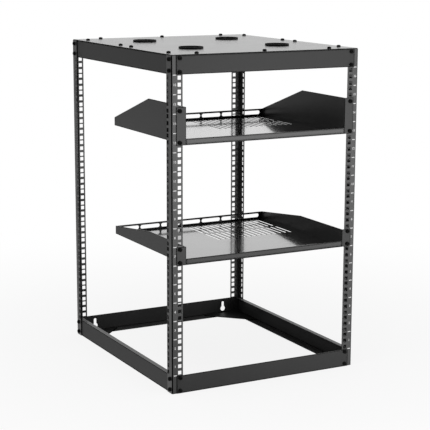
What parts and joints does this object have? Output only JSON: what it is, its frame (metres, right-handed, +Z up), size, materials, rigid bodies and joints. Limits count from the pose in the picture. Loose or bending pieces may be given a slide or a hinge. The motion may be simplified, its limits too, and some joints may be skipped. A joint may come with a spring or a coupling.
{
  "type": "four post open frame rack",
  "caption": "Free-standing open frame equipment rack of perforated angle posts joined by folded beams, with a top panel with cable holes and vented cantilever shelves.",
  "frame": {"origin": "on the floor under the middle of the frame", "axes": "+Z up, the front of the rack faces -Y, +X to the right seen from the front"},
  "size_m": [0.506, 0.591, 0.8016],
  "materials": {
    "black_powder_coat": "satin black powder coat",
    "black_screw": "black plated screw steel",
    "white_print": "white printed unit marks and numbers"
  },
  "bodies": {
    "root": {"front_left_post": "black_powder_coat", "front_right_post": "black_powder_coat", "rear_left_post": "black_powder_coat", "rear_right_post": "black_powder_coat", "bottom_front_beam": "black_powder_coat", "bottom_rear_beam": "black_powder_coat", "top_front_beam": "black_powder_coat", "top_rear_beam": "black_powder_coat", "bottom_left_beam": "black_powder_coat", "bottom_right_beam": "black_powder_coat", "top_left_beam": "black_powder_coat", "top_right_beam": "black_powder_coat", "front_left_gusset": "black_powder_coat", "front_right_gusset": "black_powder_coat", "rear_left_gusset": "black_powder_coat", "rear_right_gusset": "black_powder_coat", "top_panel": "black_powder_coat", "lower_shelf_tray": "black_powder_coat", "lower_shelf_left_wall": "black_powder_coat", "lower_shelf_right_wall": "black_powder_coat", "upper_shelf_tray": "black_powder_coat", "upper_shelf_left_wall": "black_powder_coat", "upper_shelf_right_wall": "black_powder_coat"}
  },
  "joints": []
}
